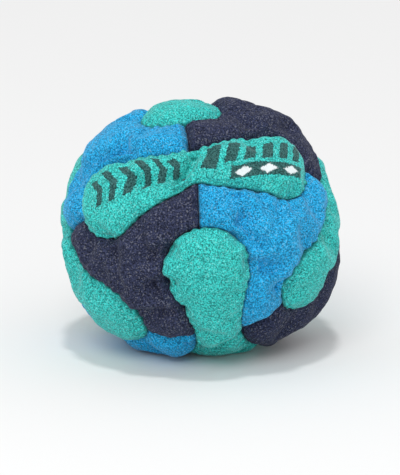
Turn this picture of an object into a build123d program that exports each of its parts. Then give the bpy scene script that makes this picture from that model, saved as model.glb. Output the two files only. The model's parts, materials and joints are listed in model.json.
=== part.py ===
"""A sand-filled footbag, also used as a juggling ball: a soft ball 56 mm across.

Fourteen suede panels make the shell. Six are bone-shaped, one on each face of an imagined cube, each
turned a quarter turn from its neighbours. Eight three-armed panels fill the cube's corners. Every
panel's edge is turned in as a seam allowance, and whip stitches wrap the neighbouring allowances and
hold them face to face. Loose sand fills the shell, which rests on a flat patch. Millimetres, +Z up,
origin at the centre of the resting patch. Each panel is one solid, each seam's stitches are one node,
and the sand is one solid.
"""
from build123d import *
import math
import os

# ---- driving dimensions, in millimetres ----
WIDTH = 56.0  # across the ball at its widest
HEIGHT = 49.6  # from the resting patch to the top
FOOT_RADIUS = 10.0  # of the flat patch that the ball rests on
ROUNDNESS = 2.15  # exponent of the side profile: 2 is an ellipse, more is boxier
SUEDE = 1.2  # thickness of the shell
ALLOWANCE = 2.5  # depth of the turned-in seam allowance below the shell
SEAM_GAP = 0.1  # from the seam line to each allowance
AIR_GAP = 6.0  # of free space above the settled sand
THREAD_RADIUS = 0.25
THREAD_CLEARANCE = 0.08  # from the thread to the suede that it wraps
STITCH_PITCH = 3.0
STITCH_MARGIN = 2.0  # from a meeting of three seams to the nearest stitch
FILL_CLEARANCE = 0.2  # from the thread to the sand

# ---- how the panels lie, in degrees ----
PITCH, ROLL, YAW = -45.1, -9.6, 2.9  # of the cube that the panels follow
LOBE_AT = 40.0  # from a bone panel's middle to each lobe's centre
LOBE_RADIUS = 17.5
WAIST = 10.5  # half the width of a bone panel's waist

OUTLINE_STEPS = 4  # points on each arc of a quarter of a bone panel's outline
PROFILE_STEPS = 5  # points on each half of the ball's side profile
NEAR, FAR = 8.0, 40.0  # from the ball's centre to the ends of the blocks that cut the panels out

RADIUS = WIDTH / 2
CENTRE_SHARE = (1 - (FOOT_RADIUS / RADIUS) ** ROUNDNESS) ** (1 / ROUNDNESS)
HALF_HEIGHT = HEIGHT / (1 + CENTRE_SHARE)  # of the same ball with no flat patch
CENTRE = Vector(0, 0, HALF_HEIGHT * CENTRE_SHARE)

# Hand-cut panels sit a few degrees out of true. Each row is a bone panel: the cube face and the way its
# length runs, how far it is turned about its length, its width and its middle, then what is added to
# LOBE_AT, LOBE_RADIUS and WAIST.
BONES = {
    "upper_front": ("A", +1, (3.5, -1.0, 3.5), (-0.5, -0.5, -0.5)),
    "lower_front": ("B", +1, (0.0, -3.0, 0.5), (-2.0, 1.0, -0.5)),
    "right": ("C", +1, (4.5, -2.0, -5.0), (1.0, -2.0, 0.0)),
    "left": ("C", -1, (-3.5, -0.5, 0.5), (0.0, -0.5, 1.0)),
    "upper_back": ("B", -1, (-1.0, -6.0, 0.0), (1.0, 1.5, 0.0)),
    "lower_back": ("A", -1, (1.0, 0.0, -1.5), (0.0, 0.0, 0.5)),
}
# The corner panels, by the sides of the cube that they touch.
CORNERS = {
    "front_right": (+1, +1, +1),
    "front_left": (+1, +1, -1),
    "top_right": (+1, -1, +1),
    "top_left": (+1, -1, -1),
    "bottom_right": (-1, +1, +1),
    "bottom_left": (-1, +1, -1),
    "back_right": (-1, -1, +1),
    "back_left": (-1, -1, -1),
}
RUNS_TOWARDS = {"A": "C", "B": "A", "C": "B"}  # the axis that a face's bone panel runs along


def cube_axes():
    """The directions of cube faces A, B and C from the ball's centre."""
    turned = {}
    for face, start in (("A", (0, -1, 0)), ("B", (0, 0, -1)), ("C", (1, 0, 0))):
        direction = Vector(*start)
        for axis, angle in ((Axis.X, PITCH), (Axis.Y, ROLL), (Axis.Z, YAW)):
            direction = direction.rotate(axis, angle)
        turned[face] = direction
    return turned


AXES = cube_axes()


class Bone:
    """A bone panel's place on the ball: its middle, its length and its width as directions."""

    def __init__(self, name):
        face, side, turns, extras = BONES[name]
        self.name = name
        self.face, self.side, self.run = face, side, RUNS_TOWARDS[face]
        across = ({"A", "B", "C"} - {face, self.run}).pop()
        middle, length, width = AXES[face] * side, AXES[self.run], AXES[across] * side
        turn = length * turns[0] + width * turns[1] + middle * turns[2]
        if turn.length > 0:
            axis = Axis((0, 0, 0), tuple(turn))
            middle, length, width = (v.rotate(axis, turn.length) for v in (middle, length, width))
        self.middle, self.length, self.width = middle, length, width
        self.lobe_at, self.lobe_radius, self.waist = (
            math.radians(base + extra) for base, extra in zip((LOBE_AT, LOBE_RADIUS, WAIST), extras)
        )

    def direction(self, along, across, up):
        return (self.length * along + self.width * across + self.middle * up).normalized()

    def end(self, side):
        """The tip of the lobe on that side of the panel's length."""
        angle = self.lobe_at + self.lobe_radius
        return self.direction(side * math.sin(angle), 0, math.cos(angle))

    def waist_point(self, side):
        return self.direction(0, side * math.sin(self.waist), math.cos(self.waist))

    def side_circle(self, grow=0.0):
        """Radius of the round hollow beside the waist, an angle that makes it touch both lobes."""
        low, high = math.radians(5), math.radians(75)
        radius, waist = self.lobe_radius + grow, self.waist + grow
        for _ in range(60):
            middle = (low + high) / 2
            overlap = math.cos(self.lobe_at) * math.cos(waist + middle) - math.cos(radius + middle)
            low, high = (middle, high) if overlap < 0 else (low, middle)
        return middle

    def quarter(self, grow=0.0, steps=OUTLINE_STEPS):
        """(along, across, up) of points from a lobe's tip to the waist, round the lobe and the hollow."""
        radius, waist, hollow = self.lobe_radius + grow, self.waist + grow, self.side_circle(grow)
        lobe = Vector(math.sin(self.lobe_at), 0, math.cos(self.lobe_at))
        side = Vector(0, math.sin(waist + hollow), math.cos(waist + hollow))
        outward = Vector(math.cos(self.lobe_at), 0, -math.sin(self.lobe_at))
        inward = Vector(0, -math.cos(waist + hollow), math.sin(waist + hollow))
        sideways, lengthways = Vector(0, 1, 0), Vector(1, 0, 0)
        to_side, to_lobe = side - lobe * lobe.dot(side), lobe - side * side.dot(lobe)
        lobe_turn = math.atan2(to_side.dot(sideways), to_side.dot(outward))
        hollow_turn = math.atan2(to_lobe.dot(lengthways), to_lobe.dot(inward))
        points = []
        for i in range(steps + 1):
            turn = lobe_turn * i / steps
            rim = outward * math.cos(turn) + sideways * math.sin(turn)
            points.append(lobe * math.cos(radius) + rim * math.sin(radius))
        for i in range(1, steps + 1):
            turn = hollow_turn * (1 - i / steps)
            rim = inward * math.cos(turn) + lengthways * math.sin(turn)
            points.append(side * math.cos(hollow) + rim * math.sin(hollow))
        return points

    def outline(self, grow=0.0):
        """Directions round the whole outline, once, with the outline moved out by the angle grow."""
        quarter = [tuple(p) for p in self.quarter(grow)]
        half = quarter + [(-x, y, z) for x, y, z in quarter[-2::-1]]
        whole = half + [(x, -y, z) for x, y, z in half[-2:0:-1]]
        return [self.direction(*p) for p in whole]

    def cone(self, grow=0.0):
        """Everything that lies under the outline, from deep in the ball out past its surface."""
        ends = []
        for height in (NEAR, FAR):
            points = [CENTRE + d * (height / d.dot(self.middle)) for d in self.outline(grow)]
            ends.append(Wire([Edge.make_spline(points, periodic=True)]))
        return Solid.make_loft(ends, ruled=True)


def other(axes):
    return ({"A", "B", "C"} - set(axes)).pop()


def bone_on(bones, face, side):
    return next(b for b in bones if b.face == face and b.side == side)


def short_seams(bones):
    """The twelve seams between corner panels: each runs from a lobe's tip to the next bone's waist."""
    seams = []
    for bone in bones:
        for side in (+1, -1):
            neighbour = bone_on(bones, bone.run, side)
            # A bone's width points along the third axis, times its own side.
            start, finish = bone.end(side), neighbour.waist_point(bone.side * neighbour.side)
            seams.append((bone, neighbour, start, finish))
    return seams


def corner_region(bones, signs, inset):
    """Everything under a corner panel and the bone panels round it, each short seam moved in by inset."""
    sign = dict(zip("ABC", signs))
    middle = sum((AXES[face] * sign[face] for face in "ABC"), Vector(0, 0, 0)).normalized()
    legs = {}
    for bone, neighbour, start, finish in short_seams(bones):
        if sign[bone.face] == bone.side and sign[neighbour.face] == neighbour.side:
            inward = start.cross(finish).normalized()
            shift = inward * (inset / RADIUS if inward.dot(middle) > 0 else -inset / RADIUS)
            legs[bone.face] = (bone.middle, start + shift, finish + shift)
    corners = [d for face in "ACB" for d in legs[face]]
    ends = []
    for height in (NEAR, FAR):
        ends.append(Wire.make_polygon([CENTRE + d * (height / d.dot(middle)) for d in corners]))
    return Solid.make_loft(ends, ruled=True)


def ball(depth):
    """The solid whose surface lies depth below the footbag's own surface."""
    radius, half_height = RADIUS - depth, HALF_HEIGHT - depth
    foot_z = depth
    foot_share = (CENTRE.Z - foot_z) / half_height
    foot_turn = math.acos(foot_share ** (ROUNDNESS / 2))
    top = 0.0

    def at(turn):
        """A point on the profile, with turn 0 at the pole and a quarter turn at the widest place."""
        return (
            radius * math.sin(turn) ** (2 / ROUNDNESS),
            half_height * math.cos(turn) ** (2 / ROUNDNESS),
        )

    quarter_turn = math.pi / 2
    lower = [foot_turn + (quarter_turn - foot_turn) * i / PROFILE_STEPS for i in range(PROFILE_STEPS)]
    upper = [quarter_turn * (1 - i / PROFILE_STEPS) for i in range(PROFILE_STEPS)]
    points = [(at(t)[0], CENTRE.Z - at(t)[1]) for t in lower]
    points += [(at(t)[0], CENTRE.Z + at(t)[1]) for t in upper]
    points.append((top, CENTRE.Z + half_height))
    side = Edge.make_spline([Vector(x, 0, z) for x, z in points])
    foot = Edge.make_line((0, 0, foot_z), (points[0][0], 0, foot_z))
    axis = Edge.make_line((0, 0, CENTRE.Z + half_height), (0, 0, foot_z))
    return Solid.revolve(Face(Wire([foot, side, axis])), 360, Axis.Z)


def distance_to(depth, direction):
    """From the ball's centre, along a direction, to the surface that lies depth below its own."""
    flat = math.hypot(direction.X, direction.Y) / (RADIUS - depth)
    upright = abs(direction.Z) / (HALF_HEIGHT - depth)
    distance = (flat**ROUNDNESS + upright**ROUNDNESS) ** (-1 / ROUNDNESS)
    if direction.Z < 0:
        distance = min(distance, (CENTRE.Z - depth) / -direction.Z)
    return distance


def make_stitch():
    """A whip stitch: thread across two cut edges and up the outer faces of both allowances."""
    side = SEAM_GAP + SUEDE + THREAD_CLEARANCE + THREAD_RADIUS
    leg = ALLOWANCE - 2 * THREAD_RADIUS
    low, high = -THREAD_CLEARANCE - THREAD_RADIUS, leg
    corners = [(-side, 0, high), (-side, 0, low), (side, 0, low), (side, 0, high)]
    path = Wire.make_polygon(corners, close=False)
    section = Face(Wire.make_circle(THREAD_RADIUS, Plane((-side, 0, high))))
    return Solid.sweep(section, path, transition=Transition.RIGHT)


def stitches(directions):
    """Stitches at an even pitch along a seam given as directions from the ball's centre."""
    edge = SUEDE + ALLOWANCE
    places = [CENTRE + d * distance_to(edge, d) for d in directions]
    lengths = [(b - a).length for a, b in zip(places, places[1:])]
    room = sum(lengths) - 2 * STITCH_MARGIN
    gaps = max(1, round(room / STITCH_PITCH))
    pattern, made = make_stitch(), []
    for i in range(gaps + 1):
        wanted = STITCH_MARGIN + room * i / gaps
        leg = 0
        while wanted > lengths[leg] and leg < len(lengths) - 1:
            wanted -= lengths[leg]
            leg += 1
        share = wanted / lengths[leg]
        out = (directions[leg] * (1 - share) + directions[leg + 1] * share).normalized()
        across = out.cross(directions[leg + 1] - directions[leg]).normalized()
        place = Plane(CENTRE + out * distance_to(edge, out), x_dir=across, z_dir=out)
        made.append(pattern.moved(Location(place)))
    return made


def bone_stitches(bone):
    """The stitches round a bone panel, a quarter at a time from each lobe's tip to each waist."""
    made = []
    for along in (+1, -1):
        for across in (+1, -1):
            quarter = bone.quarter(steps=24)
            made += stitches([bone.direction(along * p.X, across * p.Y, p.Z) for p in quarter])
    return made


def arc_directions(start, finish, steps=8):
    return [(start * (1 - i / steps) + finish * (i / steps)).normalized() for i in range(steps + 1)]


def panel(region, inner_region, shells):
    """The shell over a region with its edge turned in."""
    outer, under_suede, under_allowance = shells
    return (region & outer) - under_allowance - (inner_region & under_suede)


def sand(outer_limit):
    """The settled sand: clear of the allowances, with a low mound on top and air above it."""
    mound_radius = 3 * RADIUS
    top = HEIGHT - SUEDE - AIR_GAP
    mound = Solid.make_sphere(mound_radius, Plane((0, 0, top - mound_radius)), -90, 90)
    return outer_limit & mound


def save(shape, name):
    export_step(shape, f"parts/{name}.step")
    print(name, round(shape.volume), len(shape.solids()), shape.is_valid)


def main():
    os.makedirs("parts", exist_ok=True)
    bones = [Bone(name) for name in BONES]
    shells = (ball(0), ball(SUEDE), ball(SUEDE + ALLOWANCE))
    gap = SEAM_GAP / RADIUS
    fold = (SEAM_GAP + SUEDE) / RADIUS
    for bone in bones:
        save(panel(bone.cone(-gap), bone.cone(-fold), shells), f"{bone.name}_bone_panel")
        save(Compound(bone_stitches(bone)), f"{bone.name}_bone_thread")
    for bone, neighbour, start, finish in short_seams(bones):
        made = stitches(arc_directions(start, finish))
        save(Compound(made), f"{bone.name}_to_{neighbour.name}_thread")

    for name, signs in CORNERS.items():
        sign = dict(zip("ABC", signs))
        near = [b for b in bones if sign[b.face] == b.side]
        region = corner_region(bones, signs, SEAM_GAP) - [b.cone(gap) for b in near]
        inner = corner_region(bones, signs, SEAM_GAP + SUEDE) - [b.cone(fold) for b in near]
        save(panel(region, inner, shells), f"{name}_corner_panel")

    thread = THREAD_CLEARANCE + 2 * THREAD_RADIUS
    save(sand(ball(SUEDE + ALLOWANCE + thread + FILL_CLEARANCE)), "sand_fill")


main()
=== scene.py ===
"""The looks of a sand-filled suede footbag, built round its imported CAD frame.

Each of the fourteen panels is a closed suede skin: a patch of a fine sphere, cut along its seams, with
its edge rolled under into the seam, puckered by the stitches and pressed to the ball's shape.
"""

import json
import math

import bmesh
import bpy
import numpy as np
from mathutils.bvhtree import BVHTree
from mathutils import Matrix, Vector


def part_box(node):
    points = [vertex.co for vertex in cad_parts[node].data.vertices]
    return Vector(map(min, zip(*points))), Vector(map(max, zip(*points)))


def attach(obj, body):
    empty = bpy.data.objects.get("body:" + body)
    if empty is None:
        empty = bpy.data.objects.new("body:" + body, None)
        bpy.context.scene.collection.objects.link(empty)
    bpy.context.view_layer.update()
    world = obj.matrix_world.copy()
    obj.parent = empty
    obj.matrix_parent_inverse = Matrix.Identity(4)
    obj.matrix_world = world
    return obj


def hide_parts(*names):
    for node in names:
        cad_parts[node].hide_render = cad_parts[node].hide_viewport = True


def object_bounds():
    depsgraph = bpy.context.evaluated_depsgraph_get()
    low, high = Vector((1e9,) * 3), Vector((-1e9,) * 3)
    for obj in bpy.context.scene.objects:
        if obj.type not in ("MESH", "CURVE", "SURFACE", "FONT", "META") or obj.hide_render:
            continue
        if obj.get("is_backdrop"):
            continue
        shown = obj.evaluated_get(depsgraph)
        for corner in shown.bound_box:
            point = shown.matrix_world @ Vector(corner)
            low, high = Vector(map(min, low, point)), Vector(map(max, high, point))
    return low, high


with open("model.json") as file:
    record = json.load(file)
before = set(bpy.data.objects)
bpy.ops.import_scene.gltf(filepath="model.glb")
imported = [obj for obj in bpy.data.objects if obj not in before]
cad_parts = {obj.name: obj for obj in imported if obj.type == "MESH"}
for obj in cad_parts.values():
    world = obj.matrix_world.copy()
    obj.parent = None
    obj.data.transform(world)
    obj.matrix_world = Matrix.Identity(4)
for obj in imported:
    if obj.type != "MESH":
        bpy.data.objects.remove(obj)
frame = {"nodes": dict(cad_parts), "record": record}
CAD_LOW, CAD_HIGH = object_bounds()
MM = 0.001

# ---- the ball, in millimetres, as the CAD has it ----
RADIUS = 28.0
HEIGHT = 49.6
FOOT_RADIUS = 10.0
ROUNDNESS = 2.15
CENTRE_SHARE = (1 - (FOOT_RADIUS / RADIUS) ** ROUNDNESS) ** (1 / ROUNDNESS)
HALF_HEIGHT = HEIGHT / (1 + CENTRE_SHARE)
CENTRE = np.array([0, 0, HALF_HEIGHT * CENTRE_SHARE])

# ---- how the panels lie, in degrees, as the CAD has it ----
PITCH, ROLL, YAW = -45.1, -9.6, 2.9
LOBE_AT, LOBE_RADIUS, WAIST = 40.0, 17.5, 10.5
BONES = {
    "upper_front": ("A", +1, (3.5, -1.0, 3.5), (-0.5, -0.5, -0.5)),
    "lower_front": ("B", +1, (0.0, -3.0, 0.5), (-2.0, 1.0, -0.5)),
    "right": ("C", +1, (4.5, -2.0, -5.0), (1.0, -2.0, 0.0)),
    "left": ("C", -1, (-3.5, -0.5, 0.5), (0.0, -0.5, 1.0)),
    "upper_back": ("B", -1, (-1.0, -6.0, 0.0), (1.0, 1.5, 0.0)),
    "lower_back": ("A", -1, (1.0, 0.0, -1.5), (0.0, 0.0, 0.5)),
}
CORNERS = {
    "front_right": (+1, +1, +1),
    "front_left": (+1, +1, -1),
    "top_right": (+1, -1, +1),
    "top_left": (+1, -1, -1),
    "bottom_right": (-1, +1, +1),
    "bottom_left": (-1, +1, -1),
    "back_right": (-1, -1, +1),
    "back_left": (-1, -1, -1),
}
RUNS_TOWARDS = {"A": "C", "B": "A", "C": "B"}

# ---- the suede shell, in millimetres ----
FINENESS = 8  # icosphere subdivisions
SEAM_GAP = 0.05  # from the seam line to each panel
SUEDE = 1.2
ALLOWANCE = 2.5
SWELL = -0.15  # how far the stuffed panels stand out past the CAD surface
BONE_ROLL, CORNER_ROLL = 0.6, 1.2  # width of the rounded edge: the bones are sewn over the corners
BONE_DROP, CORNER_DROP = 0.3, 1.25  # how far the rounded edge sinks
PILLOW_DROP = 0.25  # how far a panel sinks on its way from its middle to its edge
PILLOW_REACH = 4.0
STITCH_PITCH = 2.3
SCALLOP = 0.17  # how far the edge wanders in and out at each stitch
LUMPS = ((0.4, 11, 8), (0.3, 4.5, 9), (0.12, 1.6, 10), (0.06, 0.75, 11))  # depth, size and seed
UNDER_REACH = 1.05  # how far in from the edge the seam allowance is turned inward
INNER_GAP = 0.6  # the least between the outer and the inner skin, and between the inner skin and the floor
CUT_MARGIN = 2.5  # how much of the sphere past its edge a panel keeps until it is cut
WALL_ROWS = 3  # rows of faces between the outer and the inner skin's edges
PRESS = 0.5  # how softly the ball flattens against the floor

# ---- the cloth simulation of the shell ----
CLOTH_FINENESS = 6
CLOTH_SCALE = 20.0  # the ball is simulated this much larger, a size that the solver handles well
CLOTH_FRAMES = 30
SEAM_SHRINK, PANEL_SHRINK = 0.08, -0.04  # the thread gathers the seams, and the sand stretches the panels
CLOTH_LIMIT = 2.6  # the most that a point moves, in millimetres
CLOTH_GAIN = 1.3
CLOTH_SMOOTHING = 6
SEAM_REACH = 1.2  # how far from a seam its thread gathers the cloth, in millimetres

# ---- folds, bulges and tugs of this ball, each placed from the middle of a panel ----
# depth and half width, then the places it runs through, as millimetres to the right and up
FOLDS = {
    "upper_front": [
        (2.6, 1.2, [(0, 5), (1, 0), (-2, -5)]),  # the nip across the printed panel's waist
        (2.0, 1.4, [(-2, -3), (-6, -5), (-10, -5)]),
        (0.9, 1.0, [(7, 0), (6, -4)]),
    ],
    "top_left": [
        (2.3, 2.3, [(2, -11), (8, -4), (13, 2)]),
        (0.9, 1.4, [(0, -14), (4, -12)]),
    ],
    "front_left": [
        (1.4, 1.5, [(-6, 7), (-3, 3), (-1, -3)]),
        (2.4, 1.6, [(10, 5), (6, 4)]),  # three gathers into the lower front lobe
        (2.4, 1.6, [(10, -2), (6, -3)]),
        (1.5, 1.5, [(11, -9), (6, -9)]),
        (0.9, 2.0, [(4, 9), (3, 0)]),
    ],
    "front_right": [
        (1.8, 1.5, [(-10, 3), (-6, 1)]),
        (1.3, 1.3, [(-9, -3), (-3, -5)]),
        (1.6, 1.8, [(-8, 12), (-9, 6)]),
        (1.2, 1.3, [(-4, 11), (-4, 7)]),
        (1.2, 1.4, [(4, 10), (3, 6)]),
        (1.0, 1.5, [(5, -12), (0, -10)]),
    ],
    "top_right": [
        (1.4, 1.6, [(-12, 2), (-9, -3)]),
        (1.1, 1.6, [(4, 3), (0, 0)]),
        (1.2, 1.6, [(-5, -4), (-1, -8)]),
    ],
    "lower_front": [
        (3.6, 0.8, [(9, 6), (5, 2), (0, -2), (-6, -3)]),  # the panel folds under itself by the floor
    ],
    "left": [
        (0.8, 1.3, [(11, 3), (15, 0)]),
        (0.9, 1.2, [(17, -4), (20, -7)]),
    ],
}
# millimetres to the right and up, then height and radius
BULGES = {
    "upper_front": [(-15, -1, 0.8, 4), (14, 16, -0.7, 7)],
    "upper_back": [(0, 20, -1.3, 13), (0, -16, 0.5, 12)],
    "top_right": [(0, -4, 0.8, 10)],
    "top_left": [(0, 2, -0.4, 10)],
    "front_left": [(4, 6, 0.5, 5)],
    "front_right": [(0, 0, 0.6, 6)],
    "lower_front": [(0, 4, 0.7, 5), (0, -7, -1.1, 5)],
    "right": [(0, 12, -0.8, 7)],
    "left": [(0, 16, -1.3, 7)],
    "bottom_right": [(0, 6, 0.8, 8)],
    "bottom_left": [(0, 6, 0.6, 9)],
    "back_right": [(0, -10, -0.5, 9)],
}
# where the stuffing tugs the seams: millimetres to the right and up, the tug itself, and its radius
TUGS = {
    "upper_front": [(0, 12, 0, 3.5, 6), (2, -6, 0, 1.5, 3)],
    "right": [(0, 12, 4.5, 0, 7)],
    "left": [(0, 11, -3.5, -1, 7), (12, -14, -2.5, -2, 5)],
}

# ---- the sewn stitches, in millimetres: the panels stay clear of them ----
STITCH_AT, STITCH_TOP = 1.63, 1.35  # how far they lie from the seam, and how deep
SOFTNESS = 0.12  # how softly a fold stops short of them

# ---- the printed pattern: chevrons, slanted blocks, and a band with pale lozenges, in millimetres ----
PRINTED = "upper_front"
NO_PRINT = 9.0  # a distance at which there is no ink
# chevrons: place along the panel and half height; blocks: place, half width and half height
CHEVRONS = ((-19.2, 2.5), (-15.7, 3.1), (-12.3, 3.3), (-9.0, 3.1), (-5.9, 2.7), (-3.0, 2.0))
BLOCKS = (
    (4.4, 1.6, 2.9),
    (8.8, 1.3, 2.1),
    (12.6, 1.15, 2.1),
    (16.2, 1.1, 2.1),
    (19.7, 1.0, 2.0),
    (23.0, 0.9, 1.9),
)
CHEVRON_UP, CHEVRON_HALF_WIDTH, CHEVRON_POINT = 1.2, 0.8, 0.55
BLOCK_UP, BLOCK_LEAN = 1.3, 0.5
BAND_AT, BAND_DOWN, BAND_HALF_WIDTH, BAND_HALF_HEIGHT = 15.2, 2.8, 7.8, 1.3
LOZENGES = (10.2, 15.2, 20.2)
LOZENGE_HALF_WIDTH, LOZENGE_HALF_HEIGHT = 1.8, 0.9
PRINT_LEAN = 0.35

# ---- the sand ----
SAND_DEPTH = 4.75  # below the ball's surface
SAND_GAP = 0.15  # above the bottom of its CAD solid
MOUND_FALL, MOUND_GAP = 170, 0.4  # how flat the mound on top is, and how far it stays below the CAD top

# ---- the camera and the lights ----
ELEVATION, DISTANCE, LENS = 15, 560.0, 212.6
AIM_DOWN, AIM_RIGHT = 2.16, 0.08
SKY, FLOOR_SHADE = 0.7, 0.86
SUN_STRENGTH, SUN_ANGLE, SUN_TILT = 0.8, 6, 9
FRONT_WATTS, FRONT_SIZE, FRONT_PLACE, FRONT_TURN = 1.3, 0.35, (-0.12, -0.48, 0.5), (45, 0, -14)


# ---- directions ----
def unit(v):
    return v / np.linalg.norm(v, axis=-1, keepdims=True)


def turned(v, axis, angle):
    """v turned about a unit axis by an angle in radians."""
    return (
        v * math.cos(angle)
        + np.cross(axis, v) * math.sin(angle)
        + axis * np.dot(axis, v) * (1 - math.cos(angle))
    )


def towards(points, target, angle):
    """Unit vectors moved along the ball by an angle towards a target each."""
    side = target - points * np.sum(points * target, -1, keepdims=True)
    side = unit(side + 1e-12)
    angle = np.asarray(angle)[..., None]
    return points * np.cos(angle) + side * np.sin(angle)


def angle_between(points, direction):
    return np.arccos(np.clip(points @ direction, -1, 1))


def level_axes(place):
    """Unit vectors to the right and up along the ball's surface at a place on it."""
    right = unit(np.cross([0.0, 0.0, 1.0], place))
    return right, np.cross(place, right)


def spot(panel, x, y):
    """Unit vector to a place some millimetres to the right and up from a panel's middle."""
    middle = panel_middle(panel)
    right, up = level_axes(middle)
    ahead = right * x + up * y
    return towards(middle[None], unit(middle + ahead * 1e-3)[None], np.array([math.hypot(x, y) / RADIUS]))[0]


def tug(points):
    """How far the tugs have moved unit vectors that ended at these points."""
    moved = np.zeros_like(points)
    for panel, tugs in TUGS.items():
        for x, y, tug_right, tug_up, radius in tugs:
            place = spot(panel, x, y)
            right, up = level_axes(place)
            share = np.exp(-((angle_between(points, place) * RADIUS / radius) ** 2))
            moved += share[:, None] * (right * tug_right + up * tug_up) / RADIUS
    return moved


def untugged(points):
    """Where unit vectors lay before the tugs moved them."""
    return unit(points - tug(points))


def tugged(points, rounds=12):
    """Where the tugs move unit vectors to."""
    ended = points
    for _ in range(rounds):
        ended = unit(points + tug(ended))
    return ended


# ---- noise ----
def noise(points, size, seed):
    """Smooth random values from about -1 to 1 that vary over the given size, at points in millimetres."""
    p = np.asarray(points) / size + seed * 17.31
    cell = np.floor(p).astype(np.int64)
    part = p - cell
    blend = part * part * part * (part * (part * 6 - 15) + 10)
    total = np.zeros(len(p))
    for corner in np.ndindex(2, 2, 2):
        at = cell + corner
        mixed = at[:, 0] * 73856093 ^ at[:, 1] * 19349663 ^ at[:, 2] * 83492791 ^ (seed * 2654435761)
        mixed = (mixed ^ (mixed >> 13)) * 1274126177 & 0x7FFFFFFF
        mixed = (mixed ^ (mixed >> 15)) * 1103515245 & 0x7FFFFFFF
        slope = np.stack([(mixed >> s) % 1024 / 511.5 - 1 for s in (0, 10, 20)], -1)
        weight = np.prod(np.where(corner, blend, 1 - blend), -1)
        total += weight * np.sum(slope * (part - corner), -1)
    return total * 1.4


# ---- the sewing pattern ----
def cube_axes():
    axes = {}
    for face, start in (("A", (0, -1, 0)), ("B", (0, 0, -1)), ("C", (1, 0, 0))):
        v = np.array(start, float)
        for axis, angle in (((1, 0, 0), PITCH), ((0, 1, 0), ROLL), ((0, 0, 1), YAW)):
            v = turned(v, np.array(axis, float), math.radians(angle))
        axes[face] = v
    return axes


AXES = cube_axes()


def panel_middle(name):
    """Unit vector to the middle of a face or a corner of the turned cube that the panels lie on."""
    if name in BONES:
        face, side = BONES[name][:2]
        return AXES[face] * side
    return unit(sum(AXES[face] * sign for face, sign in zip("ABC", CORNERS[name])))


class Bone:
    """A bone-shaped panel: two round lobes, and a round hollow on each side of the waist."""

    def __init__(self, name):
        face, side, turns, extras = BONES[name]
        self.name, self.face, self.side, self.run = name, face, side, RUNS_TOWARDS[face]
        across = ({"A", "B", "C"} - {face, self.run}).pop()
        place = [AXES[face] * side, AXES[self.run], AXES[across] * side]
        turn = place[1] * turns[0] + place[2] * turns[1] + place[0] * turns[2]
        size = np.linalg.norm(turn)
        self.middle, self.length, self.width = (turned(v, turn / size, math.radians(size)) for v in place)
        self.lobe_at, self.lobe, self.waist = (
            math.radians(a + b) for a, b in zip((LOBE_AT, LOBE_RADIUS, WAIST), extras)
        )
        low, high = math.radians(5), math.radians(75)
        for _ in range(50):
            self.hollow = (low + high) / 2
            touch = math.cos(self.lobe_at) * math.cos(self.waist + self.hollow)
            too_wide = touch < math.cos(self.lobe + self.hollow)
            low, high = (self.hollow, high) if too_wide else (low, self.hollow)

    def direction(self, along, across, up):
        return unit(self.length * along + self.width * across + self.middle * up)

    def end(self, side):
        angle = self.lobe_at + self.lobe
        return self.direction(side * math.sin(angle), 0, math.cos(angle))

    def waist_point(self, side):
        return self.direction(0, side * math.sin(self.waist), math.cos(self.waist))

    def measure(self, points):
        """For unit vectors: how far inside the outline, what to move towards to go deeper, and how far
        round the outline from the nearest lobe tip, all in radians."""
        along, across, up = points @ self.length, points @ self.width, points @ self.middle
        side_u, side_v = np.where(along < 0, -1.0, 1.0), np.where(across < 0, -1.0, 1.0)
        lobe = self.length * side_u[:, None] * math.sin(self.lobe_at) + self.middle * math.cos(self.lobe_at)
        angle = self.waist + self.hollow
        hollow = self.width * side_v[:, None] * math.sin(angle) + self.middle * math.cos(angle)
        folded = np.stack([np.abs(along), np.abs(across), up], -1)
        lobe_f = np.array([math.sin(self.lobe_at), 0, math.cos(self.lobe_at)])
        hollow_f = np.array([0, math.sin(angle), math.cos(angle)])
        by_lobe = folded @ np.cross(lobe_f, hollow_f) * np.sign(np.cross(lobe_f, hollow_f)[0]) > 0
        in_lobe = self.lobe - angle_between(folded, lobe_f)
        in_hollow = angle_between(folded, hollow_f) - self.hollow
        depth = np.where(by_lobe, in_lobe, in_hollow)
        target = np.where(by_lobe[:, None], lobe, -hollow)
        # distance round the outline, from the tip over the lobe and then along the hollow
        tip = np.array([math.cos(self.lobe_at), 0, -math.sin(self.lobe_at)])
        round_lobe = np.arctan2(folded[:, 1], folded @ tip)
        joint = towards(lobe_f[None], hollow_f[None], np.array([self.lobe]))[0]
        turn_at_joint = math.atan2(joint[1], joint @ tip)
        inward = np.array([0, -math.cos(angle), math.sin(angle)])
        round_hollow = np.arctan2(folded[:, 0], folded @ inward)
        hollow_at_joint = math.atan2(joint[0], joint @ inward)
        arc = np.where(
            by_lobe,
            round_lobe * math.sin(self.lobe),
            turn_at_joint * math.sin(self.lobe) + (hollow_at_joint - round_hollow) * math.sin(self.hollow),
        )
        return depth, target, arc

    def edge_mm(self, points):
        """How far unit vectors lie inside the scalloped outline, in millimetres."""
        depth, _, arc = self.measure(points)
        mm, arc_mm = depth * RADIUS, arc * RADIUS
        uneven = 1 + 1.3 * noise(points * RADIUS, 5.0, 4)
        wander = SCALLOP * uneven * np.cos(2 * np.pi * arc_mm / STITCH_PITCH)
        wander += 0.15 * noise(points * RADIUS, 2.2, 3)
        return mm - wander * np.clip(1.5 - np.abs(mm), 0, 1)


def short_seams(bones):
    """The seams between corner panels, each from a lobe's tip to the next bone's waist."""
    seams = []
    for bone in bones:
        for side in (+1, -1):
            other = next(b for b in bones if b.face == bone.run and b.side == side)
            seams.append((bone, other, bone.end(side), other.waist_point(bone.side * other.side)))
    return seams


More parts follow.
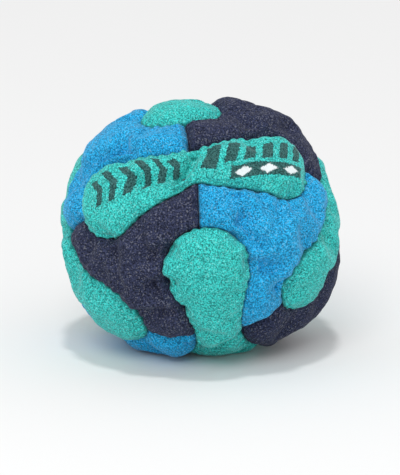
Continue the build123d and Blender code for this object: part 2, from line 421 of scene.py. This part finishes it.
def segment_measure(points, start, finish):
    """Distance from unit vectors to a short seam, and how far along it they lie, in radians."""
    normal = unit(np.cross(start, finish))
    off = np.arcsin(np.clip(points @ normal, -1, 1))
    ahead = np.cross(normal, start)
    along = np.arctan2(points @ ahead, points @ start)
    whole = math.acos(float(start @ finish))
    ends = np.where(along < whole / 2, angle_between(points, start), angle_between(points, finish))
    beyond = (along < 0) | (along > whole)
    return np.where(beyond, ends, np.abs(off)), np.clip(along, 0, whole), normal


def inside_outline(points, corners, middle):
    """Whether unit vectors lie inside a spherical polygon that surrounds middle."""
    first = unit(np.cross(middle, corners[0]))
    second = np.cross(middle, first)
    up = points @ middle
    x, y = points @ first / np.maximum(up, 0.05), points @ second / np.maximum(up, 0.05)
    inside = np.zeros(len(points), bool)
    flat = [(c @ first / (c @ middle), c @ second / (c @ middle)) for c in corners]
    for (ax, ay), (bx, by) in zip(flat, flat[1:] + flat[:1]):
        crosses = (ay > y) != (by > y)
        inside ^= crosses & (x < (bx - ax) * (y - ay) / (by - ay + 1e-12) + ax)
    return inside & (up > 0.05)


class Corner:
    """A three-armed panel between three bones."""

    def __init__(self, name, bones, seams):
        self.name = name
        sign = dict(zip("ABC", CORNERS[name]))
        self.middle = panel_middle(name)
        self.near = [b for b in bones if sign[b.face] == b.side]
        self.seams = {
            one.face: (one, start, finish)
            for one, two, start, finish in seams
            if sign[one.face] == one.side and sign[two.face] == two.side
        }

    def short_measures(self, points):
        """As measure gives them, for each of the seams shared with another corner panel."""
        corners = [p for f in "ACB" for p in (self.seams[f][0].middle, *self.seams[f][1:])]
        inside = inside_outline(points, corners, self.middle)
        for _, start, finish in self.seams.values():
            away, along, normal = segment_measure(points, start, finish)
            yield np.where(inside, away, -away), normal * np.sign(self.middle @ normal), along

    def measure(self, points):
        """As a bone's measure, for the nearest of the panel's seams."""
        found = [(-depth, -target, arc) for depth, target, arc in (b.measure(points) for b in self.near)]
        depth, target, arc = found[0]
        for d, t, a in (*found[1:], *self.short_measures(points)):
            closer = d < depth
            depth, arc = np.where(closer, d, depth), np.where(closer, a, arc)
            target = np.where(closer[:, None], t, target)
        return depth, target, arc

    def edge_mm(self, points):
        """How far unit vectors lie inside the panel's edge, which follows the scallops of the bones."""
        found = [-bone.edge_mm(points) for bone in self.near]
        found += [depth * RADIUS for depth, _, _ in self.short_measures(points)]
        return np.min(found, 0)


# ---- mesh cutting ----
def icosphere(fineness):
    bm = bmesh.new()
    bmesh.ops.create_icosphere(bm, subdivisions=fineness, radius=1.0)
    points = unit(np.array([v.co for v in bm.verts]))
    faces = np.array([[v.index for v in f.verts] for f in bm.faces])
    bm.free()
    return points, faces


def cut(points, faces, depth, carried):
    """The part of a triangle mesh where depth is above 0, with new points where edges cross 0, the
    boundary edges in the order of the faces beside them, and the carried values at the points."""
    inside = depth > 0
    count = inside[faces].sum(1)
    whole = faces[count == 3]
    mixed, number = faces[(count == 1) | (count == 2)], count[(count == 1) | (count == 2)]
    odd = np.argmax(inside[mixed] == (number == 1)[:, None], 1)
    rows = np.arange(len(mixed))
    a, b, c = (mixed[rows, (odd + i) % 3] for i in range(3))
    edges = np.sort(np.concatenate([np.stack([a, b], 1), np.stack([a, c], 1)]), 1)
    unique, index = np.unique(edges, axis=0, return_inverse=True)
    index = index.reshape(-1) + len(points)
    ab, ac = index[: len(mixed)], index[len(mixed) :]
    share = (depth[unique[:, 0]] / (depth[unique[:, 0]] - depth[unique[:, 1]]))[:, None]
    made = unit(points[unique[:, 0]] * (1 - share) + points[unique[:, 1]] * share)
    brought = carried[unique[:, 0]] * (1 - share) + carried[unique[:, 1]] * share
    one = number == 1
    parts = [
        whole,
        np.stack([a, ab, ac], 1)[one],
        np.stack([ab, b, c], 1)[~one],
        np.stack([ab, c, ac], 1)[~one],
    ]
    rim = np.where(one[:, None], np.stack([ab, ac], 1), np.stack([ac, ab], 1))
    every = np.concatenate([points, made])
    new_faces = np.concatenate(parts)
    used = np.unique(new_faces)
    place = np.full(len(every), -1)
    place[used] = np.arange(len(used))
    return every[used], place[new_faces], place[rim], np.concatenate([carried, brought])[used]


# ---- the ball's shape ----
def surface(directions):
    """Points of the ball's surface and their outward normals, in millimetres."""
    flat = np.hypot(directions[:, 0], directions[:, 1]) / RADIUS
    upright = np.abs(directions[:, 2]) / HALF_HEIGHT
    reach = (flat**ROUNDNESS + upright**ROUNDNESS) ** (-1 / ROUNDNESS)
    points = directions * reach[:, None]
    round_flat = (flat * reach) ** (ROUNDNESS - 1) / RADIUS
    round_up = (upright * reach) ** (ROUNDNESS - 1) / HALF_HEIGHT
    sideways = directions[:, :2] / (np.hypot(directions[:, 0], directions[:, 1])[:, None] + 1e-9)
    normal = np.concatenate(
        [sideways * round_flat[:, None], (np.sign(directions[:, 2]) * round_up)[:, None]], 1
    )
    return points + CENTRE, unit(normal)


def folds_and_bulges(directions):
    """How far the surface sinks at unit vectors, in millimetres, for the folds and bulges."""
    drop = np.zeros(len(directions))
    wander = 1 + 0.5 * noise(directions * RADIUS, 2.5, 31)
    for panel, folds in FOLDS.items():
        for depth, width, places in folds:
            path = [spot(panel, *place) for place in places]
            away = np.min([segment_measure(directions, *ends)[0] for ends in zip(path, path[1:])], 0)
            drop += depth * np.exp(-((away * RADIUS / (width * wander)) ** 2))
    for panel, bulges in BULGES.items():
        for x, y, height, radius in bulges:
            away = angle_between(directions, spot(panel, x, y)) * RADIUS
            drop -= height * np.exp(-((away / radius) ** 2))
    return drop


def settle(points):
    """Points pressed flat where they would reach below the floor."""
    points[:, 2] = PRESS * np.logaddexp(0, points[:, 2] / PRESS)
    return points


def simulated_shell(panels, sphere):
    """Cloth simulation of the stuffed shell: how far each point of the sphere moves, in millimetres.
    The seams are gathered by their thread while the filling presses out, which puckers the suede."""
    points, faces = sphere
    coarse, coarse_faces = icosphere(CLOTH_FINENESS)
    start = (surface(coarse)[0] - CENTRE) * MM * CLOTH_SCALE
    mesh = bpy.data.meshes.new("shell")
    mesh.from_pydata(start.tolist(), [], coarse_faces.tolist())
    shell = bpy.data.objects.new("shell", mesh)
    bpy.context.scene.collection.objects.link(shell)
    depth = np.max([panel.measure(untugged(coarse))[0] for panel in panels], 0) * RADIUS
    seam = shell.vertex_groups.new(name="seam")
    for i, weight in enumerate(np.exp(-((np.maximum(depth, 0) / SEAM_REACH) ** 2))):
        seam.add([i], float(weight), "REPLACE")
    cloth = shell.modifiers.new("cloth", "CLOTH")
    cloth.point_cache.frame_end = CLOTH_FRAMES + 1
    settings = cloth.settings
    settings.quality = 6
    settings.mass = 0.3
    settings.tension_stiffness = settings.compression_stiffness = 40
    settings.shear_stiffness = 20
    settings.bending_stiffness = 150
    settings.air_damping = 4
    settings.use_pressure = True
    settings.uniform_pressure_force = 14
    settings.vertex_group_shrink = "seam"
    settings.shrink_min, settings.shrink_max = PANEL_SHRINK, SEAM_SHRINK
    settings.effector_weights.gravity = 0
    for step in range(1, CLOTH_FRAMES + 1):
        bpy.context.scene.frame_set(step)
    result = shell.evaluated_get(bpy.context.evaluated_depsgraph_get()).data
    ended = np.array([v.co for v in result.vertices])
    bpy.data.objects.remove(shell)
    bpy.context.scene.frame_set(1)
    moved = (ended - start) / (MM * CLOTH_SCALE)
    moved -= coarse * np.median(np.sum(moved * coarse, 1))
    size = np.linalg.norm(moved, axis=1, keepdims=True) + 1e-9
    moved *= CLOTH_LIMIT * np.tanh(CLOTH_GAIN * size / CLOTH_LIMIT) / size
    return smoothed(carried_over(coarse, coarse_faces, moved, points), faces, CLOTH_SMOOTHING)


def carried_over(coarse, coarse_faces, values, points):
    """Values at a coarse sphere's points, carried over to a finer sphere's points."""
    tree = BVHTree.FromPolygons(coarse.tolist(), coarse_faces.tolist())
    found = np.array([tree.find_nearest(p)[2] for p in points.tolist()])
    a, b, c = (coarse[coarse_faces[found, i]] for i in range(3))
    shares = [np.sum(np.cross(q, r) * points, 1) for q, r in ((b, c), (c, a), (a, b))]
    shares = np.clip(np.stack(shares, 1), 0, None)
    shares /= shares.sum(1, keepdims=True)
    return sum(values[coarse_faces[found, i]] * shares[:, i : i + 1] for i in range(3))


def smoothed(values, faces, times):
    """Values at a mesh's points, each averaged with its neighbours so many times."""
    pairs = np.concatenate([faces[:, [0, 1]], faces[:, [1, 2]], faces[:, [2, 0]]])
    count = np.bincount(pairs[:, 0], minlength=len(values))[:, None]
    for _ in range(times):
        total = [np.bincount(pairs[:, 0], values[pairs[:, 1], i], len(values)) for i in range(3)]
        values = 0.5 * values + 0.5 * np.stack(total, 1) / count
    return values


# ---- one panel's skin ----
def rolled_edge(mm, name):
    """How far in the points lie once a panel's edge is rolled under, and how far the roll sinks them."""
    width, sink = (BONE_ROLL, BONE_DROP) if name in BONES else (CORNER_ROLL, CORNER_DROP)
    roll = np.clip(mm / width, 0, 1) * np.pi / 2
    rolled = np.where(mm < width, width * (1 - np.cos(roll)), mm)
    return rolled, sink * (1 - np.sin(roll))


def puckers(mm, arc_mm, root):
    """How far the suede sinks where the stitches gather it, at distances in from a point of the seam."""
    uneven = 0.7 * noise(root, 2.2, 5) + 0.6 * noise(root, 4.5, 6)
    drop = uneven * np.exp(-mm / 3.0) * (1 - np.exp(-mm / 0.7))
    stitch = np.cos(np.pi * arc_mm / STITCH_PITCH) ** 2
    drop += 0.3 * stitch * np.exp(-((mm - 0.6) ** 2) / 0.8)
    gather = np.cos(2 * np.pi * (arc_mm / STITCH_PITCH + 0.35 * noise(root, 6.0, 13)))
    length = 1.6 * np.clip(0.6 + 1.2 * noise(root, 5.0, 14), 0.05, 2)
    return drop + 0.22 * gather * np.exp(-mm / length) * (1 - np.exp(-mm / 0.5))


def clear_of_stitches(drop, mm, outward):
    """The drop, held short of the sewn stitches where the cloth moved outward by so much."""
    most = outward + STITCH_TOP + 2 * (mm - STITCH_AT) ** 2
    return drop - SOFTNESS * np.logaddexp(0, (drop - most) / SOFTNESS)


def closed_skin(outer, inner, tris, rim):
    """Closed mesh of an outer and an inner skin, with rows of wall between their edges."""
    number = len(outer)
    rim_points = np.unique(rim)
    place = np.full(number, -1)
    place[rim_points] = np.arange(len(rim_points))
    walls, sides = [], []
    above = rim
    for row in range(1, WALL_ROWS + 1):
        if row < WALL_ROWS:
            share = row / WALL_ROWS
            walls.append(outer[rim_points] * (1 - share) + inner[rim_points] * share)
            below = place[rim] + 2 * number + (row - 1) * len(rim_points)
        else:
            below = rim + number
        sides.append(np.stack([above[:, 1], above[:, 0], below[:, 0]], 1))
        sides.append(np.stack([above[:, 1], below[:, 0], below[:, 1]], 1))
        above = below
    every = np.concatenate([outer, inner, *walls])
    return every, np.concatenate([tris, tris[:, ::-1] + number, *sides])


def panel_shape(panel, sphere, shell):
    """Mesh of one panel: points in millimetres, faces, and its measures for the material."""
    points, faces = sphere
    edge_mm = panel.edge_mm(untugged(points))
    keep = (edge_mm > -CUT_MARGIN)[faces].all(1)
    skin, tris, rim, given = cut(points, faces[keep], edge_mm - SEAM_GAP, shell)

    depth, target, arc = panel.measure(untugged(skin))
    mm = np.maximum(depth * RADIUS, 0)
    rolled, drop = rolled_edge(mm, panel.name)
    moved = towards(skin, target, (rolled - mm) / RADIUS)
    root = towards(skin, target, -mm / RADIUS) * RADIUS
    drop += PILLOW_DROP * np.exp(-mm / PILLOW_REACH) - SWELL
    drop += puckers(mm, arc * RADIUS, root)
    drop += sum(deep * noise(skin * RADIUS, size, seed) for deep, size, seed in LUMPS)
    drop += folds_and_bulges(moved)

    outer, normal = surface(moved)
    drop = clear_of_stitches(drop, mm, np.sum(given * normal, 1))
    outer = settle(outer + given - normal * drop[:, None])
    inner, inner_normal = surface(skin)
    under = SUEDE + ALLOWANCE * np.exp(-((mm / UNDER_REACH) ** 4))
    least = drop - np.sum(given * inner_normal, 1) + INNER_GAP
    inner = inner - inner_normal * np.maximum(under, least)[:, None]
    inner[:, 2] = np.maximum(inner[:, 2], INNER_GAP)

    every, faces = closed_skin(outer, inner, tris, rim)
    measures = {"seam_mm": np.concatenate([rolled, np.zeros(len(every) - len(rolled))])}
    if panel.name == PRINTED:
        for key, values in print_measures(panel, untugged(skin)).items():
            measures[key] = np.concatenate([values, np.full(len(every) - len(values), NO_PRINT)])
    return every, faces, measures


# ---- the printed pattern ----
def block(x, y, half_width, half_height, lean=PRINT_LEAN):
    """Distance outside a slanted block, in millimetres, less than 0 inside."""
    away_x, away_y = np.abs(x - lean * y) - half_width, np.abs(y) - half_height
    return np.maximum(away_x, away_y)


def chevron(x, y, half_width, half_height):
    return block(x + CHEVRON_POINT * np.abs(y), y, half_width, half_height, 0.0)


def lozenge(x, y, half_width, half_height):
    away = np.abs(x - PRINT_LEAN * y) / half_width + np.abs(y) / half_height - 1
    return away * min(half_width, half_height) * 0.7


def print_measures(bone, directions):
    """Distances outside the dark and the pale print."""
    along = np.arctan2(directions @ bone.length, directions @ bone.middle) * RADIUS
    up = -np.arcsin(np.clip(directions @ bone.width, -1, 1)) * RADIUS
    row = up - CHEVRON_UP
    dark = [chevron(along - x, row, CHEVRON_HALF_WIDTH, height) for x, height in CHEVRONS]
    row = up - BLOCK_UP
    dark += [block(along - x, row, width, height, BLOCK_LEAN) for x, width, height in BLOCKS]
    dark.append(block(along - BAND_AT, up + BAND_DOWN, BAND_HALF_WIDTH, BAND_HALF_HEIGHT))
    row, size = up + BAND_DOWN, (LOZENGE_HALF_WIDTH, LOZENGE_HALF_HEIGHT)
    pale = [lozenge(along - x, row, *size) for x in LOZENGES]
    return {"ink_mm": np.min(dark, 0), "pale_mm": np.min(pale, 0)}


def make_object(name, points, faces, measures):
    mesh = bpy.data.meshes.new(name)
    mesh.vertices.add(len(points))
    mesh.vertices.foreach_set("co", (points * MM).astype(np.float32).ravel())
    mesh.loops.add(len(faces) * 3)
    mesh.loops.foreach_set("vertex_index", faces.astype(np.int32).ravel())
    mesh.polygons.add(len(faces))
    mesh.polygons.foreach_set("loop_start", np.arange(0, len(faces) * 3, 3, dtype=np.int32))
    mesh.polygons.foreach_set("use_smooth", np.ones(len(faces), bool))
    mesh.update(calc_edges=True)
    mesh.validate()
    for key, values in measures.items():
        attribute = mesh.attributes.new(key, "FLOAT", "POINT")
        attribute.data.foreach_set("value", values.astype(np.float32))
    obj = bpy.data.objects.new(name, mesh)
    bpy.context.scene.collection.objects.link(obj)
    return obj


# ---- materials ----
class Nodes:
    """Short hand for building a material's nodes."""

    def __init__(self, name):
        self.material = bpy.data.materials.new(name)
        self.material.use_nodes = True
        self.tree = self.material.node_tree
        self.tree.nodes.clear()
        self.shader = self.add("ShaderNodeBsdfPrincipled")
        output = self.add("ShaderNodeOutputMaterial")
        self.link(self.shader.outputs[0], output.inputs[0])
        self.coordinates = self.add("ShaderNodeTexCoord").outputs["Object"]

    def add(self, kind, **settings):
        node = self.tree.nodes.new(kind)
        for key, value in settings.items():
            setattr(node, key, value)
        return node

    def link(self, out, into):
        self.tree.links.new(out, into)

    def set(self, socket, value):
        if isinstance(value, bpy.types.NodeSocket):
            self.link(value, socket)
        else:
            socket.default_value = value

    def grain(self, size_mm, detail=2.0, roughness=0.5, offset=0.0):
        """Noise from 0 to 1 that varies over a size."""
        node = self.add("ShaderNodeTexNoise", noise_dimensions="4D")
        self.link(self.coordinates, node.inputs["Vector"])
        node.inputs["W"].default_value = offset
        node.inputs["Scale"].default_value = 1 / (size_mm * MM)
        node.inputs["Detail"].default_value = detail
        node.inputs["Roughness"].default_value = roughness
        return node.outputs["Fac"]

    def math(self, operation, a, b=0.0):
        node = self.add("ShaderNodeMath", operation=operation)
        self.set(node.inputs[0], a)
        self.set(node.inputs[1], b)
        return node.outputs[0]

    def fit(self, value, low, high, to_low=0.0, to_high=1.0):
        node = self.add("ShaderNodeMapRange", interpolation_type="SMOOTHSTEP")
        keys = ("Value", "From Min", "From Max", "To Min", "To Max")
        for key, setting in zip(keys, (value, low, high, to_low, to_high)):
            self.set(node.inputs[key], setting)
        return node.outputs[0]

    def mix(self, share, a, b):
        node = self.add("ShaderNodeMix", data_type="RGBA")
        self.set(node.inputs["Factor"], share)
        self.set(node.inputs[6], a)
        self.set(node.inputs[7], b)
        return node.outputs[2]

    def measure(self, key):
        return self.add("ShaderNodeAttribute", attribute_name=key).outputs["Fac"]


def shade(colour, factor):
    return (*[min(1.0, c * factor) for c in colour], 1)


def suede(name, colour, dark, pale, glint, sheen, printed=False):
    """Brushed suede: a fine speckle of nap, cloudy patches, and painted shade in the seams. dark and pale
    are the nap's factors on the colour, and glint is how strongly the pale specks show: pale fibres and
    painted glints of light."""
    n = Nodes(name)
    nap = n.grain(0.3, 2.0, 0.6)
    speckle = n.fit(nap, 0.38, 0.62)
    base = n.mix(speckle, shade(colour, dark), shade(colour, pale))
    cloud = n.fit(n.grain(6.0, 3.0, offset=3.0), 0.3, 0.7)
    base = n.mix(n.math("MULTIPLY", cloud, 0.22), base, shade(colour, 0.62))
    pits = n.fit(n.grain(0.33, 0.0, offset=7.0), 0.62, 0.68)
    base = n.mix(n.math("MULTIPLY", pits, 0.65), base, shade(colour, dark * 0.4))
    # pale specks: partly pale fibres of the nap, partly painted glints of light, whitened and brightened
    # into the colour
    pale_fibres_and_glints = n.fit(n.grain(0.3, 0.0, offset=11.0), 0.63, 0.69)
    base = n.mix(n.math("MULTIPLY", pale_fibres_and_glints, glint), base, shade([c * 0.85 + 0.15 for c in colour], 1.5))
    if printed:
        worn = n.math("MULTIPLY", n.math("SUBTRACT", nap, 0.5), 0.9)
        ink = n.fit(n.math("ADD", n.measure("ink_mm"), worn), -0.12, 0.12, 0.88, 0.0)
        base = n.mix(ink, base, n.mix(speckle, (0.01, 0.02, 0.022, 1), (0.055, 0.1, 0.1, 1)))
        pale_ink = n.fit(n.math("ADD", n.measure("pale_mm"), worn), -0.1, 0.1, 0.95, 0.0)
        base = n.mix(pale_ink, base, (0.85, 0.92, 0.94, 1))
    # painted shade: the suede darkens to 0.3 of its colour within half a millimetre of each seam, where the
    # rolled edge sinks into the groove
    seam = n.fit(n.measure("seam_mm"), 0.0, 0.5, 0.6, 0.0)
    base = n.mix(seam, base, shade(colour, 0.3))
    n.link(base, n.shader.inputs["Base Color"])
    n.set(n.shader.inputs["Roughness"], 0.95)
    n.shader.inputs["Specular IOR Level"].default_value = 0.15
    n.shader.inputs["Sheen Weight"].default_value = sheen
    n.shader.inputs["Sheen Roughness"].default_value = 0.3
    n.shader.inputs["Sheen Tint"].default_value = shade([c * 0.4 + 0.6 for c in colour], 1.0)
    bump = n.add("ShaderNodeBump")
    bump.inputs["Strength"].default_value = 0.9
    bump.inputs["Distance"].default_value = 0.22 * MM
    n.link(nap, bump.inputs["Height"])
    n.link(bump.outputs[0], n.shader.inputs["Normal"])
    return n.material


def thread_material():
    n = Nodes("waxed_thread")
    twist = n.add("ShaderNodeTexWave", wave_type="BANDS", bands_direction="DIAGONAL")
    n.link(n.coordinates, twist.inputs["Vector"])
    twist.inputs["Scale"].default_value = 1 / (0.5 * MM)
    twist.inputs["Distortion"].default_value = 1.5
    colour = n.mix(twist.outputs["Fac"], (0.01, 0.014, 0.02, 1), (0.04, 0.05, 0.065, 1))
    n.link(colour, n.shader.inputs["Base Color"])
    n.shader.inputs["Roughness"].default_value = 0.6
    bump = n.add("ShaderNodeBump")
    bump.inputs["Strength"].default_value = 0.6
    bump.inputs["Distance"].default_value = 0.05 * MM
    n.link(twist.outputs["Fac"], bump.inputs["Height"])
    n.link(bump.outputs[0], n.shader.inputs["Normal"])
    return n.material


def sand_material():
    n = Nodes("dry_sand")
    grains = n.add("ShaderNodeTexVoronoi")
    n.link(n.coordinates, grains.inputs["Vector"])
    grains.inputs["Scale"].default_value = 1 / (0.4 * MM)
    tint = n.fit(n.grain(0.4, 1.0), 0.35, 0.65)
    n.link(n.mix(tint, (0.42, 0.31, 0.18, 1), (0.72, 0.6, 0.42, 1)), n.shader.inputs["Base Color"])
    n.shader.inputs["Roughness"].default_value = 0.9
    bump = n.add("ShaderNodeBump")
    bump.inputs["Distance"].default_value = 0.15 * MM
    n.link(grains.outputs["Distance"], bump.inputs["Height"])
    n.link(bump.outputs[0], n.shader.inputs["Normal"])
    return n.material


TEAL, BLUE, NAVY = (0.046, 0.56, 0.52), (0.022, 0.38, 0.8), (0.032, 0.038, 0.078)
SUEDES = {
    "teal_suede": suede("teal_suede_nap", TEAL, 0.45, 1.42, 0.4, 0.4),
    "blue_suede": suede("blue_suede_nap", BLUE, 0.45, 1.45, 0.4, 0.35),
    "navy_suede": suede("navy_suede_nap", NAVY, 0.4, 1.65, 0.4, 0.1),
}
PRINTED_SUEDE = suede("teal_suede_printed", TEAL, 0.45, 1.42, 0.4, 0.4, printed=True)


def slot_of(node):
    return next(s["material_slot"] for s in frame["record"]["subparts"] if s["node"] == node)


def build_panels():
    bones = [Bone(name) for name in BONES]
    seams = short_seams(bones)
    sphere = icosphere(FINENESS)
    jobs = [(b, f"{b.name}_bone_panel") for b in bones]
    jobs += [(Corner(name, bones, seams), f"{name}_corner_panel") for name in CORNERS]
    shell = simulated_shell([panel for panel, _ in jobs], sphere)
    for panel, node in jobs:
        obj = make_object(node + "_suede", *panel_shape(panel, sphere, shell))
        material = PRINTED_SUEDE if panel.name == PRINTED else SUEDES[slot_of(node)]
        obj.data.materials.append(material)
        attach(obj, "root")
        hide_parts(node)
        slot_of(node)


def build_sand():
    """Loose sand with a grainy surface and a low mound on top."""
    directions, faces = icosphere(7)
    low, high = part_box("sand_fill")
    points, normal = surface(directions)
    points = points - normal * SAND_DEPTH
    points[:, 2] = np.maximum(points[:, 2], low.z / MM + SAND_GAP)
    mound = high.z / MM - (points[:, 0] ** 2 + points[:, 1] ** 2) / MOUND_FALL - MOUND_GAP
    points[:, 2] = np.minimum(points[:, 2], mound)
    points += normal * (0.12 * noise(points, 0.9, 21) + 0.08 * noise(points, 3.0, 22))[:, None]
    obj = make_object("loose_sand", points, faces, {})
    obj.data.materials.append(sand_material())
    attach(obj, "root")
    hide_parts("sand_fill")


def build_threads():
    """The CAD threads, moved along with the seams that the tugs moved."""
    material = thread_material()
    for name, node in frame["nodes"].items():
        if not name.endswith("_thread"):
            continue
        away = np.array([v.co for v in node.data.vertices]) / MM - CENTRE
        reach = np.linalg.norm(away, axis=1, keepdims=True)
        before = away / reach
        after = tugged(before)
        was, now = (np.linalg.norm(surface(d)[0] - CENTRE, axis=1, keepdims=True) for d in (before, after))
        obj = bpy.data.objects.new(name + "_sewn", node.data.copy())
        sewn = CENTRE + after * reach * now / was
        obj.data.vertices.foreach_set("co", (sewn * MM).ravel())
        obj.data.update()
        obj.data.materials.clear()
        obj.data.materials.append(material)
        bpy.context.scene.collection.objects.link(obj)
        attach(obj, "root")
        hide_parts(name)


# ---- the studio ----
def build_camera():
    """Level with the ball's front, looking down on it a little."""
    elevation = math.radians(ELEVATION)
    back = np.array([0, -math.cos(elevation), math.sin(elevation)])
    up = np.array([0, math.sin(elevation), math.cos(elevation)])
    aim = CENTRE - up * AIM_DOWN + np.array([AIM_RIGHT, 0, 0])
    camera = bpy.data.objects.new("camera", bpy.data.cameras.new("camera"))
    camera.location = (aim + back * DISTANCE) * MM
    camera.rotation_euler = (math.pi / 2 - elevation, 0, 0)
    camera.data.lens = LENS
    camera.data.sensor_width = 36
    camera.data.clip_start = 0.01
    bpy.context.scene.collection.objects.link(camera)
    bpy.context.scene.camera = camera


def build_studio():
    bm = bmesh.new()
    bmesh.ops.create_grid(bm, x_segments=1, y_segments=1, size=4.0)
    mesh = bpy.data.meshes.new("floor")
    bm.to_mesh(mesh)
    bm.free()
    floor = bpy.data.objects.new("floor", mesh)
    bpy.context.scene.collection.objects.link(floor)
    paper = Nodes("pale_floor")
    paper.shader.inputs["Base Color"].default_value = (FLOOR_SHADE, FLOOR_SHADE, FLOOR_SHADE, 1)
    paper.shader.inputs["Roughness"].default_value = 1.0
    paper.shader.inputs["Specular IOR Level"].default_value = 0.0
    mesh.materials.append(paper.material)
    floor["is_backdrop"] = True
    world = bpy.data.worlds.new("studio")
    world.use_nodes = True
    sky = world.node_tree.nodes["Background"]
    sky.inputs["Color"].default_value = (1, 1, 1, 1)
    sky.inputs["Strength"].default_value = SKY
    bpy.context.scene.world = world
    sun = bpy.data.lights.new("overhead", "SUN")
    sun.energy = SUN_STRENGTH
    sun.angle = math.radians(SUN_ANGLE)
    lamp = bpy.data.objects.new("overhead", sun)
    lamp.rotation_euler = (math.radians(SUN_TILT), 0, 0)
    bpy.context.scene.collection.objects.link(lamp)
    soft = bpy.data.lights.new("front", "AREA")
    soft.shape = "DISK"
    soft.size = FRONT_SIZE
    soft.energy = FRONT_WATTS
    box = bpy.data.objects.new("front", soft)
    box.location = FRONT_PLACE
    box.rotation_euler = [math.radians(angle) for angle in FRONT_TURN]
    bpy.context.scene.collection.objects.link(box)


bpy.context.scene.view_settings.view_transform = "Standard"
build_camera()
build_studio()
build_panels()
build_sand()
build_threads()

low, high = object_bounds()
sizes = {"cad": [list(CAD_LOW), list(CAD_HIGH)], "visual": [list(low), list(high)]}
{k: [[float(x) for x in p] for p in v] for k, v in sizes.items()}
